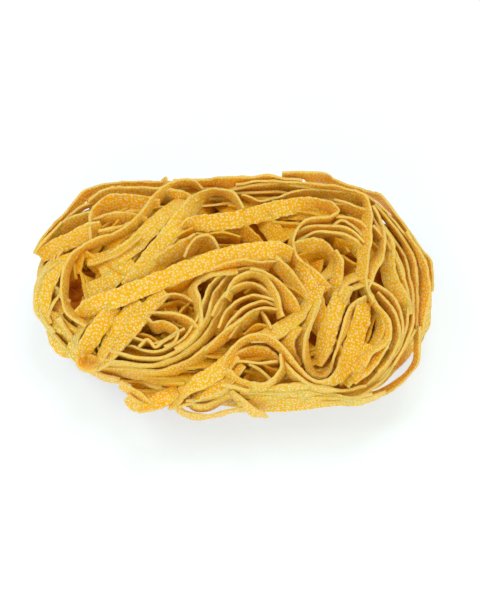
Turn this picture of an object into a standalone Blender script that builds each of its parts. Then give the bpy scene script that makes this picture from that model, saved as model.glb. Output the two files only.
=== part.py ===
"""A dry pasta nest: long flat egg noodles folded into an oblong heap that holds together as one solid.

Metres, +Z up. The nest rests flat on z = 0 with its longer side along X and its box centred on the origin.
"""

import math
import random

import bmesh
import bpy
import numpy as np

# Driving sizes
NEST_LENGTH = 0.120
NEST_DEPTH = 0.079
NEST_HEIGHT = 0.038
NOODLE_WIDTH = 0.0054
NOODLE_THICKNESS = 0.0011

# The filled core under the showing noodles, widest at its waist and cut flat at the bottom
CORE_INSET = 0.0046
CORE_TOP_INSET = 0.0060
CORE_WAIST = 0.0165
CORE_BELOW_WAIST = 0.0195
ROUNDNESS_PLAN = 2.7
ROUNDNESS_FRONT_LEFT = 1.65
FRONT_TAPER = 0.20
ROUNDNESS_ABOVE = 2.3
ROUNDNESS_BELOW = 3.4
CORE_SIDES = 28
CORE_RINGS = 12

# How noodles lie on each other
OVERLAP = 0.0006
EDGE_SINK = 0.55
MOST_RISE = 0.0100
END_DIVE = 0.0028
FLOOR_CLEARANCE = 0.0002

# The angled view from above in which the showing noodles are laid out, on a grid of 0.3 mm steps
STEP = 0.0003
VIEW_ELEVATION = math.radians(64)
VIEW_DISTANCE = 0.761
MIDDLE_X = 232
MIDDLE_Y = 296
GRID_LEFT = 10
GRID_TOP = 150
GRID_WIDE = 444
GRID_HIGH = 300
SAMPLE_STEPS = 2
SECTION_STEPS = 15
FEWEST_SAMPLES = 8
FEWEST_SECTIONS = 4
DIVE_STEPS = 22
SMOOTHING = 3
PLACES_ACROSS = 9

# Noodles wound round the sides: height of the middle line, then how far it waves up and down
SIDE_LOOPS = ((0.0042, 0.0006), (0.0098, 0.0012), (0.0155, 0.0016), (0.0212, 0.0014))
SIDE_LOOP_SEGMENTS = 26
SIDE_LOOP_LEAN = math.radians(14)
SIDE_LOOP_OUT = 0.0012
SEED = 3

# The showing noodles, lowest first. Each point is across, down and seen width, in steps of the grid.
# A width below zero turns the noodle's other edge up.
SHOWING = {
    "back_rim_left": ((37, 255, 5), (60, 224, 7), (85, 195, 8), (110, 188, 9), (140, 186, 10), (170, 185, 10)),
    "back_rim_middle": ((168, 186, 9), (210, 184, 9), (245, 182, 9), (272, 181, 8), (302, 184, 6)),
    "back_rim_right": ((280, 177, 6), (305, 176, 8), (335, 182, 8), (360, 191, 6), (385, 206, 5),
                       (403, 228, 5), (419, 253, 5), (428, 272, 6), (428, 292, 6)),
    "back_face": ((92, 212, 10), (112, 201, 16), (140, 198, 16), (176, 197, 12)),
    "back_dip": ((228, 192, 6), (262, 199, 8), (300, 192, 9), (345, 193, 10), (366, 202, 10)),
    "shoulder_lower": ((38, 259, 12), (62, 245, 17), (90, 232, 16), (116, 226, 12)),
    "shoulder_upper": ((48, 247, 8), (68, 227, 13), (96, 216, 13), (140, 217, 14)),
    "left_wall": ((70, 260, 12), (50, 278, 16), (42, 300, 18), (46, 322, 16), (60, 340, 10), (78, 356, 8)),
    "front_rim_left": ((54, 340, 8), (84, 368, 8), (112, 378, 10), (150, 385, 12), (190, 380, 12)),
    "front_rim_low": ((174, 400, 8), (188, 413, 9), (220, 411, 9), (255, 405, 12), (295, 403, 13),
                      (340, 402, 9), (380, 395, 7), (408, 372, 6), (418, 345, 6)),
    "right_outer": ((380, 204, 6), (404, 238, 8), (421, 275, 10), (424, 305, 12), (416, 342, 10), (398, 376, 8)),
    "right_middle": ((370, 204, 8), (392, 236, 10), (408, 268, 12), (412, 304, 13), (407, 340, 10),
                     (394, 370, 8), (368, 394, 7), (330, 396, 7), (290, 390, 8)),
    "right_inner": ((364, 198, 5), (378, 226, 5), (382, 246, 6), (376, 264, 8), (372, 286, 10),
                    (388, 303, 8), (401, 324, 8), (400, 348, 8), (384, 374, 8), (356, 388, 8)),
    "far_arc": ((292, 240, 7), (312, 230, 8), (336, 230, 8), (356, 240, 8), (364, 262, 10)),
    "left_ring": ((200, 186, 8), (176, 187, 9), (158, 199, 9), (140, 220, 9), (118, 235, 9), (92, 245, 8),
                  (74, 257, 8), (66, 278, 7), (66, 300, 8), (80, 318, 10)),
    "steep_face": ((190, 200, 12), (164, 220, 16), (140, 244, 17), (118, 264, 17), (98, 286, 16), (82, 300, 12)),
    "lower_left_fold": ((112, 308, 14), (98, 328, 16), (86, 348, 16), (80, 362, 8), (88, 369, 7),
                        (102, 357, 12), (118, 334, 16), (138, 306, 14)),
    "bowl_outer": ((96, 366, 8), (130, 373, 8), (165, 371, 9), (198, 353, 10), (222, 322, 10),
                   (236, 292, 9), (256, 279, 9), (274, 290, 9), (280, 312, 9)),
    "bowl_third": ((124, 340, 7), (150, 346, 8), (176, 340, 8), (194, 320, 8)),
    "under_band": ((194, 236, 10), (222, 240, 12), (252, 232, 12), (278, 222, 10)),
    "centre_face": ((280, 296, 14), (292, 318, 14), (282, 338, 10), (256, 352, 10)),
    "inner_face": ((334, 292, 16), (328, 320, 17), (326, 352, 14)),
    "bowl_inner": ((116, 352, 8), (148, 360, 8), (182, 350, 9), (204, 326, 9), (214, 300, 9), (230, 278, 8)),
    "centre_curl": ((236, 270, 8), (210, 275, 8), (197, 290, 7), (200, 312, 8), (196, 332, 10), (182, 346, 9)),
    "centre_rings": ((222, 330, 8), (236, 308, 8), (256, 300, 8), (276, 304, 8)),
    "arch": ((246, 216, 8), (237, 201, 8), (220, 192, 8), (204, 196, 12), (188, 210, 16),
             (172, 232, 17), (156, 256, 17), (142, 276, 16)),
    "front_face": ((236, 352, 14), (212, 370, 18), (186, 388, 18), (160, 404, 14), (142, 411, 8)),
    "front_bowl": ((228, 366, 12), (232, 384, 14), (254, 391, 12), (274, 384, 9), (284, 368, 8), (278, 352, 8)),
    "front_tail": ((226, 388, 8), (244, 404, 9), (262, 416, 8)),
    "long_band": ((76, 314, 10), (110, 303, 17), (150, 285, 18), (190, 268, 18), (225, 257, 18),
                  (262, 250, 18), (286, 252, 16), (302, 268, 16), (322, 290, 14)),
    "upright": ((352, 190, 6), (364, 204, 7), (367, 230, 7), (366, 258, 8), (364, 286, 8), (374, 310, 8),
                (386, 328, 8), (380, 346, 9), (362, 368, 12)),
    "hook": ((352, 300, 10), (344, 330, 8), (338, 358, 8), (324, 374, 7), (310, 366, 6), (308, 344, 6),
             (313, 312, 10), (318, 288, 14)),
    "right_face": ((372, 302, 10), (362, 318, 16), (353, 342, 18), (346, 366, 16), (332, 384, 10),
                   (314, 384, 8), (298, 370, 8), (282, 350, 8), (262, 341, 9), (244, 345, 10), (230, 360, 12)),
    "top_band": ((184, 222, 12), (215, 223, 18), (250, 216, 18), (290, 207, 17), (322, 203, 14),
                 (335, 209, 8), (330, 219, 7), (306, 223, 7), (292, 238, 7), (294, 256, 8), (308, 272, 12),
                 (318, 292, 14)),
}

PASTA_COLOUR = (0.73, 0.40, 0.035, 1.0)
PASTA_ROUGHNESS = 0.62

RIGHT = np.array((1.0, 0.0, 0.0))
UP = np.array((0.0, math.sin(VIEW_ELEVATION), math.cos(VIEW_ELEVATION)))
TOWARD = np.array((0.0, -math.cos(VIEW_ELEVATION), math.sin(VIEW_ELEVATION)))
MIDDLE = np.array((0.0, 0.0, NEST_HEIGHT / 2))
HALF_LENGTH = NEST_LENGTH / 2 - CORE_INSET
HALF_DEPTH = NEST_DEPTH / 2 - CORE_INSET


def clear_scene():
    for obj in list(bpy.data.objects):
        bpy.data.objects.remove(obj, do_unlink=True)


def pasta_material():
    material = bpy.data.materials.new("pasta")
    material.use_nodes = True
    shader = material.node_tree.nodes["Principled BSDF"]
    shader.inputs["Base Color"].default_value = PASTA_COLOUR
    shader.inputs["Roughness"].default_value = PASTA_ROUGHNESS
    shader.inputs["Metallic"].default_value = 0.0
    return material


def plan_roundness(x, y):
    """The exponent of the core's plan, softer at its corner in front on the left."""
    return np.where((np.asarray(x) < 0) & (np.asarray(y) < 0), ROUNDNESS_FRONT_LEFT, ROUNDNESS_PLAN)


def front_share(y, height):
    """The front leans in below the waist: the share of its depth that is left at a height."""
    below = np.clip((CORE_WAIST - height) / CORE_WAIST, 0, 1)
    return np.where(np.asarray(y) < 0, 1 - FRONT_TAPER * below, 1.0)


def upright_part(height):
    """How much of the core's rounding is used up at a height: 0 at its waist and 1 at its top."""
    above = np.clip((height - CORE_WAIST) / (NEST_HEIGHT - CORE_TOP_INSET - CORE_WAIST), 0, None)
    below = np.clip((CORE_WAIST - height) / CORE_BELOW_WAIST, 0, None)
    return above**ROUNDNESS_ABOVE + below**ROUNDNESS_BELOW


def core_level(points):
    """Below 1 inside the core's rounded form, above 1 outside it."""
    power = plan_roundness(points[..., 0], points[..., 1])
    x = np.abs(points[..., 0]) / HALF_LENGTH
    y = np.abs(points[..., 1]) / HALF_DEPTH / front_share(points[..., 1], points[..., 2])
    return x**power + y**power + upright_part(points[..., 2])


def core_outline(angle, height, out=0.0):
    """The point on the core's side at an angle and a height, moved outwards."""
    power = plan_roundness(np.cos(angle), np.sin(angle))
    share = np.clip(1 - upright_part(height), 0, 1) ** (1 / power)
    across = np.sign(np.cos(angle)) * np.abs(np.cos(angle)) ** (2 / power)
    away = np.sign(np.sin(angle)) * np.abs(np.sin(angle)) ** (2 / power)
    front = front_share(away, height)
    return (HALF_LENGTH * share + out) * across, (HALF_DEPTH * share * front + out) * away


def placed(across, down, depth):
    """The point seen at a place in the angled view, at a depth towards the viewer."""
    nearer = (VIEW_DISTANCE - depth) / VIEW_DISTANCE
    across = (across - MIDDLE_X) * STEP * nearer
    down = (MIDDLE_Y - down) * STEP * nearer
    return MIDDLE + across[..., None] * RIGHT + down[..., None] * UP + depth[..., None] * TOWARD


def core_depths():
    """For each place in the view, the depth at which the line of sight meets or passes nearest the core."""
    down, across = np.mgrid[0:GRID_HIGH, 0:GRID_WIDE]
    across = across + GRID_LEFT
    down = down + GRID_TOP
    depths = np.arange(NEST_HEIGHT, -NEST_HEIGHT, -2 * STEP)
    found = np.full(across.shape, -NEST_HEIGHT)
    lowest = np.full(across.shape, np.inf)
    for depth in depths:
        level = core_level(placed(across, down, np.full(across.shape, depth)))
        better = (level < lowest) & (lowest > 1)
        found[better] = depth
        lowest[better] = level[better]
    return found


def smooth_samples(knots, count):
    """Evenly spaced samples of the smooth curve through the knots."""
    along = np.concatenate([[0], np.cumsum(np.linalg.norm(np.diff(knots[:, :2], axis=0), axis=1))])
    slopes = np.gradient(knots, along, axis=0)
    wanted = np.linspace(0, along[-1], count)
    i = np.clip(np.searchsorted(along, wanted, side="right") - 1, 0, len(along) - 2)
    span = (along[i + 1] - along[i])[:, None]
    t = ((wanted - along[i]) / span[:, 0])[:, None]
    rise = t * t * (3 - 2 * t)
    start = t * (1 - t) ** 2 * span * slopes[i]
    end = -t * t * (1 - t) * span * slopes[i + 1]
    return knots[i] * (1 - rise) + knots[i + 1] * rise + start + end


def with_turns(knots):
    """Knots with each seen width changed to the angle between the noodle's width and the view's plane."""
    thin = NOODLE_THICKNESS / STEP
    wide = NOODLE_WIDTH / STEP
    turned = []
    for across, down, seen in knots:
        share = min(max((abs(seen) - thin) / (wide - thin), 0.0), 1.0)
        turned.append((across, down, math.acos(math.copysign(share, seen))))
    return np.array(turned)


def smoothed(values, reach):
    """Values averaged over their neighbours with a bell curve."""
    offsets = np.arange(-2 * reach, 2 * reach + 1)
    weights = np.exp(-0.5 * (offsets / reach) ** 2)
    padded = np.pad(values, 2 * reach, mode="edge")
    return np.convolve(padded, weights / weights.sum(), mode="valid")


def settled(knots, surface, core):
    """One noodle laid on the surface: the middle line, its width direction, and the surface raised over it."""
    path_length = sum(math.dist(a[:2], b[:2]) for a, b in zip(knots, knots[1:]))
    count = max(FEWEST_SAMPLES, round(path_length / SAMPLE_STEPS))
    samples = smooth_samples(with_turns(knots), count)
    places = samples[:, :2]
    turn = samples[:, 2]
    travel = np.gradient(places, axis=0)
    travel /= np.linalg.norm(travel, axis=1)[:, None]
    left = np.stack([travel[:, 1], -travel[:, 0]], axis=1)
    half_wide = NOODLE_WIDTH / 2
    half_thin = NOODLE_THICKNESS / 2
    cells = []
    wanted = np.full(count, -np.inf)
    for share in np.linspace(-1, 1, PLACES_ACROSS):
        for side in (-1, 0, 1):
            shift = share * half_wide * np.cos(turn) - side * half_thin * np.sin(turn)
            spot = places + left * (shift / STEP)[:, None]
            column = np.clip(np.round(spot[:, 0] - GRID_LEFT).astype(int), 0, GRID_WIDE - 1)
            row = np.clip(np.round(spot[:, 1] - GRID_TOP).astype(int), 0, GRID_HIGH - 1)
            lift = share * half_wide * np.sin(turn)
            cells.append((row, column, lift))
            wanted = np.maximum(wanted, surface[row, column] - lift + half_thin * np.abs(np.cos(turn)))
    wanted -= OVERLAP + EDGE_SINK * NOODLE_WIDTH * np.sin(turn)
    peaks = np.array([wanted[max(0, i - SMOOTHING):i + SMOOTHING + 1].max() for i in range(count)])
    depth = smoothed(peaks, SMOOTHING)
    for row, column, lift in cells:
        np.maximum.at(surface, (row, column), depth + lift + half_thin * np.abs(np.cos(turn)))
    middle_row, middle_column, _ = cells[len(cells) // 2]
    base = core[middle_row, middle_column]
    rise = MOST_RISE * np.tanh((depth - base) / MOST_RISE)
    ends = np.minimum(np.arange(count), np.arange(count)[::-1]) * SAMPLE_STEPS
    dive = END_DIVE * np.clip(1 - ends / DIVE_STEPS, 0, 1) ** 2
    middle = placed(places[:, 0], places[:, 1], base + rise - dive)
    in_view = left[:, :1] * RIGHT - left[:, 1:] * UP
    width_way = np.cos(turn)[:, None] * in_view + np.sin(turn)[:, None] * TOWARD
    sections = max(FEWEST_SECTIONS, round(path_length / SECTION_STEPS))
    kept = np.round(np.linspace(0, count - 1, sections)).astype(int)
    return middle[kept], width_way[kept]


def side_loop(height, wave, rng):
    """A noodle wound once round the core's side, its flat face outward, with its two ends overlapping."""
    turns = np.linspace(0, 2 * math.pi * (1 + 1 / SIDE_LOOP_SEGMENTS), SIDE_LOOP_SEGMENTS + 2)
    start = rng.uniform(0, 2 * math.pi)
    phase = rng.uniform(0, 2 * math.pi)
    angle = turns + start
    z = height + wave * np.sin(2 * angle + phase)
    x, y = core_outline(angle, z, SIDE_LOOP_OUT)
    middle = np.stack([x, y, z], axis=1)
    outward = np.stack([np.cos(angle), np.sin(angle), np.zeros_like(angle)], axis=1)
    slope = SIDE_LOOP_LEAN * (z - CORE_WAIST) / CORE_WAIST
    width_way = np.cos(slope)[:, None] * np.array((0.0, 0.0, 1.0)) - np.sin(slope)[:, None] * outward
    return middle, width_way


def noodle_object(name, middle, width_way, collection):
    """A flat noodle swept along its middle line, with square cut ends."""
    along = np.gradient(middle, axis=0)
    along /= np.linalg.norm(along, axis=1)[:, None]
    width_way = width_way - along * np.sum(width_way * along, axis=1)[:, None]
    width_way /= np.linalg.norm(width_way, axis=1)[:, None]
    thick_way = np.cross(along, width_way)
    mesh = bmesh.new()
    sections = []
    for centre, wide, thick in zip(middle, width_way * NOODLE_WIDTH / 2, thick_way * NOODLE_THICKNESS / 2):
        corners = (centre - wide - thick, centre + wide - thick, centre + wide + thick, centre - wide + thick)
        section = []
        for corner in corners:
            lifted = max(corner[2], FLOOR_CLEARANCE)
            section.append(mesh.verts.new((corner[0], corner[1], lifted)))
        sections.append(section)
    for first, second in zip(sections, sections[1:]):
        for i in range(4):
            j = (i + 1) % 4
            mesh.faces.new((first[i], first[j], second[j], second[i]))
    mesh.faces.new(sections[0][::-1])
    mesh.faces.new(sections[-1])
    bmesh.ops.triangulate(mesh, faces=mesh.faces)
    bmesh.ops.recalc_face_normals(mesh, faces=mesh.faces)
    data = bpy.data.meshes.new(name)
    mesh.to_mesh(data)
    mesh.free()
    obj = bpy.data.objects.new(name, data)
    collection.objects.link(obj)
    return obj


def core_object(name, collection):
    """The filled middle of the nest: a sphere shaped to the core's rounding, with its lowest ring flat at z = 0."""
    mesh = bmesh.new()
    bmesh.ops.create_uvsphere(mesh, u_segments=CORE_SIDES, v_segments=CORE_RINGS, radius=1.0)
    ring = math.pi / CORE_RINGS
    top_rise = NEST_HEIGHT - CORE_TOP_INSET - CORE_WAIST
    for vert in mesh.verts:
        slope = math.asin(max(-1.0, min(1.0, vert.co.z)))
        share_up = (slope + math.pi / 2 - ring) / (math.pi / 2 - ring)
        if slope > 0:
            height = CORE_WAIST + top_rise * math.sin(slope)
        else:
            height = CORE_WAIST * math.sin(max(share_up, 0.0) * math.pi / 2)
        x, y = core_outline(math.atan2(vert.co.y, vert.co.x), height)
        at_pole = abs(slope) > math.pi / 2 - ring / 2
        vert.co = (0.0, 0.0, height) if at_pole else (x, y, height)
    bmesh.ops.triangulate(mesh, faces=mesh.faces)
    bmesh.ops.recalc_face_normals(mesh, faces=mesh.faces)
    data = bpy.data.meshes.new(name)
    mesh.to_mesh(data)
    mesh.free()
    obj = bpy.data.objects.new(name, data)
    collection.objects.link(obj)
    return obj


def fused(core, noodles):
    """Joins the noodles to the core in one union and takes the loose noodles away."""
    union = core.modifiers.new("union", "BOOLEAN")
    union.operation = "UNION"
    union.operand_type = "COLLECTION"
    union.collection = noodles
    union.solver = "MANIFOLD"
    bpy.context.view_layer.objects.active = core
    bpy.ops.object.modifier_apply(modifier=union.name)
    for obj in list(noodles.objects):
        bpy.data.objects.remove(obj, do_unlink=True)
    bpy.data.collections.remove(noodles)


def island_volume(faces):
    """The signed volume that a closed group of triangles encloses."""
    total = 0.0
    for face in faces:
        a, b, c = (vert.co for vert in face.verts)
        total += a.dot(b.cross(c)) / 6
    return total


def keep_main_body(obj):
    """Fills sealed hollows and drops loose scraps, then stands the body centred on the origin."""
    mesh = bmesh.new()
    mesh.from_mesh(obj.data)
    bmesh.ops.triangulate(mesh, faces=mesh.faces)
    unseen = set(mesh.faces)
    islands = []
    while unseen:
        stack = [unseen.pop()]
        island = list(stack)
        while stack:
            for edge in stack.pop().edges:
                for face in edge.link_faces:
                    if face in unseen:
                        unseen.remove(face)
                        stack.append(face)
                        island.append(face)
        islands.append(island)
    islands.sort(key=island_volume)
    for island in islands[:-1]:
        bmesh.ops.delete(mesh, geom=island, context="FACES")
    low = [min(vert.co[axis] for vert in mesh.verts) for axis in range(3)]
    high = [max(vert.co[axis] for vert in mesh.verts) for axis in range(3)]
    shift = (-(low[0] + high[0]) / 2, -(low[1] + high[1]) / 2, -low[2])
    bmesh.ops.translate(mesh, vec=shift, verts=mesh.verts)
    mesh.to_mesh(obj.data)
    mesh.free()
    print("triangles", len(obj.data.polygons))


def main():
    clear_scene()
    nest = bpy.data.collections.new("dry_pasta_nest")
    noodles = bpy.data.collections.new("noodles")
    bpy.context.scene.collection.children.link(nest)
    bpy.context.scene.collection.children.link(noodles)
    core = core_object("pasta_nest", nest)
    rng = random.Random(SEED)
    for number, (height, wave) in enumerate(SIDE_LOOPS):
        noodle_object(f"side_loop_{number}", *side_loop(height, wave, rng), noodles)
    depths = core_depths()
    surface = depths.copy()
    for name, knots in SHOWING.items():
        noodle_object(name, *settled(knots, surface, depths), noodles)
    fused(core, noodles)
    keep_main_body(core)
    core.data.materials.clear()
    core.data.materials.append(pasta_material())


main()
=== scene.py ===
"""Dresses the dry pasta nest with single flat egg noodles, on a pale floor under soft light."""

import math
import random

import bmesh
import bpy
import numpy as np
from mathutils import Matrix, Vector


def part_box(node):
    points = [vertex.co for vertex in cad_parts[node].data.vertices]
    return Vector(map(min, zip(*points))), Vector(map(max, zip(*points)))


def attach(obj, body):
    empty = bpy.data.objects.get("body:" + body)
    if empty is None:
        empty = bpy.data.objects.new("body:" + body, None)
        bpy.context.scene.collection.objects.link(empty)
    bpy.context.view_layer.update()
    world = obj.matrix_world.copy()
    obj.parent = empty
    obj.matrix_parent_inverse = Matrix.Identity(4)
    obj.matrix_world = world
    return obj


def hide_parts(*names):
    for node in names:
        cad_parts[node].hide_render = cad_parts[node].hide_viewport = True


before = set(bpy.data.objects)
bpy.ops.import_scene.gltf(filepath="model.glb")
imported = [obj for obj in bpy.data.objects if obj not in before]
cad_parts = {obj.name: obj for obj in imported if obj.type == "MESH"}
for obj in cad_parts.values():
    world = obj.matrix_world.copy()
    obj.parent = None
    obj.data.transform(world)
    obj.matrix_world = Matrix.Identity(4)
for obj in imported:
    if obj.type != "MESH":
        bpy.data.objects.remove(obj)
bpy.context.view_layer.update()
NODE = "pasta_nest"
BODY = "root"
lowest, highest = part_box(NODE)
NEST_LENGTH, NEST_DEPTH, NEST_HEIGHT = (highest[axis] - lowest[axis] for axis in range(3))

TURN = 2 * math.pi
SEED = 5

# A noodle's real sizes in metres
NOODLE_WIDTH = 0.0054
NOODLE_THICKNESS = 0.0008

# How noodles differ: shares of the real sizes, curl, and waves across and along (size, shortest and longest)
WIDTH_SHARES = (0.94, 1.05)
THICKNESS_SHARES = (0.88, 1.1)
CURL = 0.00022
CURL_BALANCE = 0.4
FRILL = (0.00012, 0.006, 0.016)
BEND = (0.00009, 0.008, 0.022)
WAVES_ADDED = 3
WAVES_PEAK = 1.7

# Across a noodle: the places of its points, from one cut edge to the other, and how the cut edges are
ACROSS = np.array((-1.0, -0.94, -0.8, 0.0, 0.8, 0.94, 1.0))
RAGGEDNESS = 0.00026
EDGE_THICKNESS = 0.84
SHARP_ANGLE = math.radians(35)

# The map that the pale dots follow, and how far apart it keeps a noodle's two faces
MAP_NAME = "noodle"
MAP_SHIFT = 0.1

# The photograph: one pixel is 0.3 mm at the nest, whose middle it shows at this pixel and from this angle
STEP = 0.0003
VIEW_ELEVATION = math.radians(64)
PHOTO_WIDE = 480
PHOTO_HIGH = 609
MIDDLE_X = 232
MIDDLE_Y = 296
LENS = 150.0
SENSOR = 36.0
CAMERA_REACH = 20
DISTANCE = LENS / SENSOR * PHOTO_HIGH * STEP

# The camera's own directions and the point that it shows at the middle pixel
RIGHT = np.array((1.0, 0.0, 0.0))
UP = np.array((0.0, math.sin(VIEW_ELEVATION), math.cos(VIEW_ELEVATION)))
TOWARD = np.array((0.0, -math.cos(VIEW_ELEVATION), math.sin(VIEW_ELEVATION)))
MIDDLE = np.array((0.0, 0.0, 0.019))
UPRIGHT = np.array((0.0, 0.0, 1.0))

# The rounded form that the noodles lie on, widest at its waist
BED_INSET = 0.0062
BED_TOP_INSET = 0.0098
WAIST = 0.0165
BELOW_WAIST = 0.0195
ROUNDNESS_PLAN = 2.7
ROUNDNESS_FRONT_LEFT = 1.65
FRONT_TAPER = 0.2
ROUNDNESS_ABOVE = 2.3
ROUNDNESS_BELOW = 3.4
BED_SEARCH = 0.034

# The grid of pixels on which the noodles are laid: its first column and row and its size
GRID_LEFT = 10
GRID_TOP = 150
GRID_WIDE = 444
GRID_HIGH = 300

# How noodles lie on each other: how far one on its edge sinks in, and how far they rise off the bed
EDGE_SINK = 0.5
MOST_RISE = 0.0102
TANGLE_RISE = 0.003
DEEP_RISE = 0.0045
SAMPLE_STEPS = 1.5
SMOOTHING = 5
FEWEST_SAMPLES = 12
SHARES_ACROSS = np.linspace(-1, 1, 15)
FLOOR_CLEARANCE = 0.0002

# Openings that go deeper into the nest: pixel across, pixel down, reach across, reach down, depth in metres
OPENINGS = (
    (214, 206, 18, 9, 0.007),
    (260, 232, 16, 9, 0.0045),
    (318, 263, 17, 10, 0.0055),
    (75, 293, 9, 11, 0.007),
    (92, 270, 12, 8, 0.003),
    (206, 284, 12, 10, 0.0045),
    (264, 317, 13, 7, 0.0045),
    (150, 332, 16, 7, 0.0045),
    (182, 308, 12, 6, 0.004),
    (256, 376, 12, 8, 0.004),
    (348, 262, 12, 7, 0.004),
    (320, 340, 9, 16, 0.0035),
    (156, 390, 18, 6, 0.0045),
)

# The noodles of the tangle stop where an opening is deeper than this
OPEN_FROM = 0.0016

# The showing noodles follow by place, lowest first. Each point is a pixel across, a pixel down and the width
# seen in pixels. The edge nearer the camera is on the left as one travels along, or on the right if the
# width is below zero.

# Deep in the openings and between the others
DEEP_IN = (
    ((194, 224, 12), (202, 213, 15), (211, 205, 16), (224, 200, 14)),
    ((240, 218, 12), (231, 209, 14), (221, 203, 12)),
    ((80, 250, 10), (78, 262, 12), (76, 274, 11)),
    ((84, 256, 11), (96, 265, 13), (108, 273, 14), (124, 281, 14)),
    ((296, 262, 12), (312, 259, 14), (326, 258, 14), (342, 262, 12)),
    ((316, 262, 12), (314, 270, 12), (311, 280, 10)),
    ((334, 243, 12), (348, 248, 13), (362, 253, 13)),
    ((342, 261, 10), (352, 268, 11), (364, 271, 11)),
    ((168, 246, 8), (180, 238, 10), (194, 232, 10)),
    ((196, 236, 8), (210, 237, 9), (224, 236, 9), (240, 241, 9)),
    ((238, 226, 14), (249, 237, 15), (262, 250, 14)),
    ((261, 216, 17), (271, 229, 18), (282, 244, 18)),
    ((110, 240, 12), (116, 232, 12), (122, 224, 12)),
    ((198, 276, 10), (206, 286, 10), (212, 298, 10)),
    ((216, 270, 10), (222, 282, 10), (216, 296, 10)),
    ((150, 296, 8), (166, 292, 10), (184, 286, 10), (196, 278, 8)),
    ((150, 314, 8), (166, 308, 9), (182, 306, 9), (194, 312, 8)),
    ((176, 322, 6), (184, 312, 6), (192, 302, 6)),
    ((136, 330, 10), (148, 326, 12), (160, 332, 12)),
    ((120, 342, 8), (132, 338, 10), (148, 340, 10), (160, 346, 8)),
    ((262, 318, 10), (272, 316, 12), (284, 322, 12)),
    ((248, 330, 12), (258, 322, 12), (266, 312, 12)),
    ((246, 338, 10), (258, 330, 12), (272, 332, 10)),
    ((280, 288, 10), (290, 294, 12), (302, 302, 12), (308, 314, 8)),
    ((240, 372, 10), (250, 378, 14), (262, 382, 14), (272, 384, 10)),
    ((244, 384, 8), (252, 376, 10), (260, 368, 10)),
    ((262, 366, 8), (270, 372, 10), (280, 376, 10)),
    ((346, 304, 8), (350, 320, 10), (346, 336, 8)),
    ((386, 312, 8), (394, 326, 10), (392, 342, 8)),
    ((330, 338, 8), (338, 350, 10), (334, 366, 8)),
    ((340, 388, 8), (352, 384, 10), (364, 376, 10)),
    ((132, 384, 13), (146, 391, 16), (162, 396, 16), (180, 397, 12)),
    ((116, 381, 5), (140, 383, 5), (162, 385, 6), (186, 384, 6)),
    ((128, 388, 5), (150, 392, 5), (176, 392, 6), (204, 390, 6)),
    ((154, 380, 6), (158, 388, 8), (164, 398, 6)),
    ((246, 296, 8), (258, 288, 10), (272, 292, 8)),
    ((54, 300, 12), (58, 314, 14), (68, 326, 14)),
    ((48, 318, 13), (58, 332, 15), (70, 343, 14), (82, 352, 10)),
)

# Along the back, at the top of the photograph
AT_BACK = (
    ((236, 194, 4), (250, 194, 5), (266, 193, 5), (282, 194, 5), (300, 195, 4)),
    ((230, 191, 4), (242, 189, 5), (255, 187, 6), (268, 186, 7), (282, 186, 7), (296, 188, 7), (310, 190, 6),
     (328, 193, 5)),
    ((35, 254, 5), (43, 241, 6), (60, 222, 7), (78, 203, 8), (88, 193, 8), (98, 189, 9), (115, 187, 10),
     (140, 186, 10), (174, 186, 10)),
    ((164, 178, 6), (165, 187, 8), (167, 198, 9)),
    ((173, 184, 9), (190, 184, 9), (210, 183, 9), (226, 182, 9), (242, 181, 9), (258, 179.5, 8),
     (272, 179, 8), (287, 180, 5), (302, 182, 4)),
    ((282, 175, 6), (300, 175, 7), (320, 178, 8), (335, 183, 8), (348, 189, 7), (362, 192, 7), (378, 198, 6),
     (388, 206, 5), (397, 218, 4.5), (405, 230, 4.5), (414, 243, 6), (421, 254, 7), (427, 264, 8),
     (430, 276, 7), (429, 292, 6)),
    ((236, 186, 6), (260, 183, 6), (285, 184, 7), (305, 186, 8), (325, 188, 8), (342, 191, 8), (356, 194, 8),
     (372, 203, 7), (388, 217, 6), (400, 232, 6), (410, 246, 7), (416, 262, 8), (420, 280, 9),
     (419, 300, 9)),
    ((96, 194, 4), (90, 199, 5), (92, 208, 5)),
    ((46, 242, 5), (60, 228, 5), (72, 216, 5), (84, 207, 5), (94, 204, 4)),
    ((160, 192, 9), (174, 196, 12), (186, 200, 12), (196, 206, 10)),
    ((90, 204, 8), (104, 196, 12), (124, 193, 13), (146, 193, 12), (168, 195, 10)),
    ((96, 222, 8), (112, 219, 12), (128, 219, 13), (146, 223, 12)),
    ((100, 236, 10), (112, 233, 12), (126, 230, 12), (138, 226, 10)),
    ((50, 244, 8), (58, 235, 12), (68, 226, 13), (80, 220, 13), (94, 216, 12)),
    ((92, 242, 5), (93, 226, 7), (97, 211, 10), (109, 203, 14), (125, 202, 16), (142, 204, 16),
     (160, 207, 14)),
    ((40, 257, 13), (50, 250, 16), (62, 244, 17), (76, 238, 17), (90, 231, 16), (102, 226, 12)),
    ((36, 254, 4), (46, 241, 4), (54, 232, 5), (62, 224, 5)),
    ((242, 196, 4), (250, 200, 6), (261, 204, 8), (274, 201, 7), (290, 196, 8), (310, 193, 9),
     (334, 195, 10), (352, 198, 12), (366, 204, 12)),
    ((328, 204, 6), (340, 207, 9), (352, 211, 12), (366, 216, 12)),
    ((334, 200, 4), (344, 203, 5), (356, 208, 5)),
    ((336, 219, 7), (348, 221, 9), (358, 226, 10), (366, 234, 10)),
)

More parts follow.
